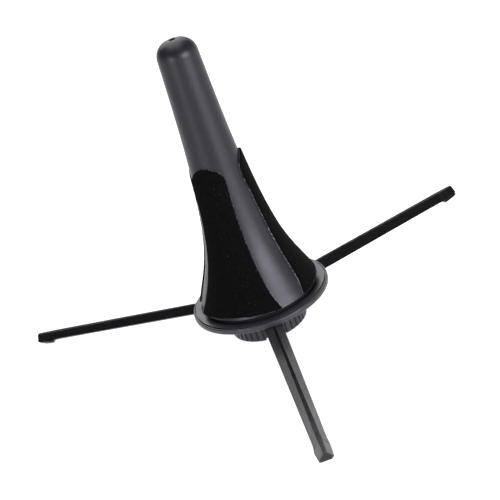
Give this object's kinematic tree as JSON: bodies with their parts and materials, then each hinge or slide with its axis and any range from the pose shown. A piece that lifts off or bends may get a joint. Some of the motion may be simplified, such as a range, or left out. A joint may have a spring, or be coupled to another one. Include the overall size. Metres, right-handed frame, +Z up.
{
  "type": "folding tripod instrument stand",
  "caption": "Folding tripod peg stand for an oboe or clarinet: felt-padded flared cone on a round flange, ribbed hub and hinged legs.",
  "frame": {"origin": "on the stand's axis, on the surface that the three soles stand on", "axes": "+Z up along the peg; one leg points to -Y and the others to 30 and 150 degrees from +X"},
  "size_m": [0.2348, 0.2036, 0.1516],
  "materials": {
    "peg_plastic": "satin black moulded plastic",
    "flange_plastic": "satin black moulded plastic",
    "felt": "short-pile black felt",
    "hub_plastic": "black plastic with moulded flutes",
    "collar_plastic": "black plastic",
    "screw_steel": "blackened steel",
    "pin_steel": "drawn steel",
    "leg_plastic": "satin black moulded plastic",
    "foot_rubber": "matt black rubber"
  },
  "bodies": {
    "hub": {"hub_body": "hub_plastic", "thread_collar": "collar_plastic", "collar_screws": "screw_steel", "hinge_pin_right": "pin_steel", "hinge_pin_left": "pin_steel", "hinge_pin_front": "pin_steel"},
    "peg": {"peg_shell": "peg_plastic", "base_flange": "flange_plastic", "felt_pad_front_right": "felt", "felt_pad_rear": "felt", "felt_pad_front_left": "felt"},
    "leg_right_body": {"leg_right": "leg_plastic", "foot_pad_right": "foot_rubber"},
    "leg_left_body": {"leg_left": "leg_plastic", "foot_pad_left": "foot_rubber"},
    "leg_front_body": {"leg_front": "leg_plastic", "foot_pad_front": "foot_rubber"}
  },
  "joints": [
    {"name": "peg_lift_off", "type": "slide", "parent": "hub", "child": "peg", "axis": [0, 0, 1], "range_m": [0, 0.155]},
    {"name": "leg_fold_right", "type": "hinge", "parent": "hub", "child": "leg_right_body", "pos_m": [0.01039, 0.006, 0.01345], "axis": [0.5, -0.866, 0], "range_deg": [0, 99]},
    {"name": "leg_fold_left", "type": "hinge", "parent": "hub", "child": "leg_left_body", "pos_m": [-0.01039, 0.006, 0.01345], "axis": [0.5, 0.866, 0], "range_deg": [0, 99]},
    {"name": "leg_fold_front", "type": "hinge", "parent": "hub", "child": "leg_front_body", "pos_m": [0, -0.012, 0.01345], "axis": [-1, 0, 0], "range_deg": [0, 99]}
  ],
  "couplings": [
    {"joint": "leg_fold_right", "follows": "peg_lift_off", "rad_per_m": 11.14},
    {"joint": "leg_fold_left", "follows": "peg_lift_off", "rad_per_m": 11.14},
    {"joint": "leg_fold_front", "follows": "peg_lift_off", "rad_per_m": 11.14}
  ]
}
